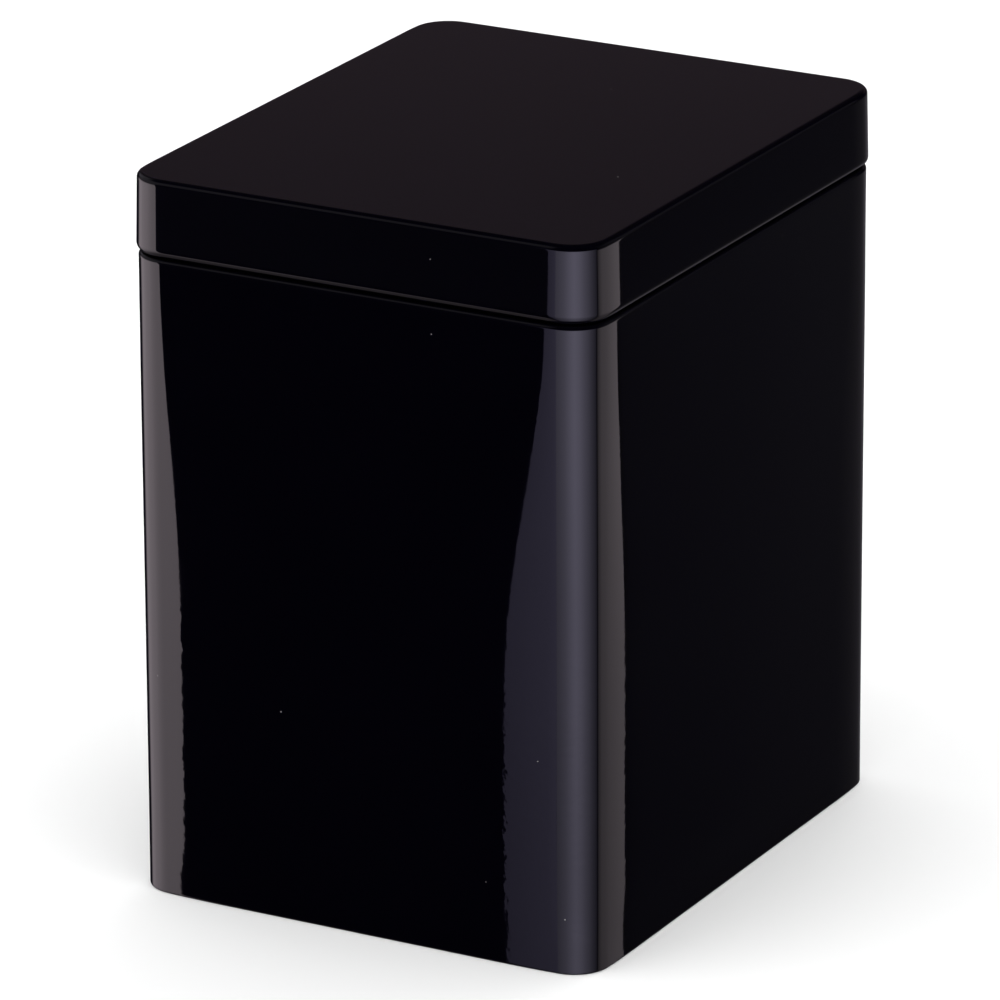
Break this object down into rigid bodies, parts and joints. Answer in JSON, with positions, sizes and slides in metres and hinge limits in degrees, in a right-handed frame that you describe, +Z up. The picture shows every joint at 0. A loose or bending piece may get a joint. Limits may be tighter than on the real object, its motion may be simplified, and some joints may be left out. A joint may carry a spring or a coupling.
{
  "type": "candle tin",
  "caption": "Tall rectangular slip-lid tin in glossy black lacquer, with rounded upright corners, a necked-in body and a lift-off lid that closes almost flush.",
  "frame": {"origin": "middle of the footprint, on the surface that the tin stands on", "axes": "+Z up, X across the narrow side, +Y towards the back wall that carries the side seam"},
  "size_m": [0.0908, 0.1098, 0.1305],
  "materials": {
    "black_lacquer": "gloss",
    "base_lacquer": "satin",
    "seam_compound": "matte"
  },
  "bodies": {
    "tin": {"body_wall": "black_lacquer", "base_panel": "base_lacquer", "seam_compound": "seam_compound"},
    "lid": {"lid": "black_lacquer"}
  },
  "joints": [
    {"name": "lid_lift", "type": "slide", "parent": "tin", "child": "lid", "axis": [0, 0, 1], "range_m": [0, 0.03]}
  ]
}
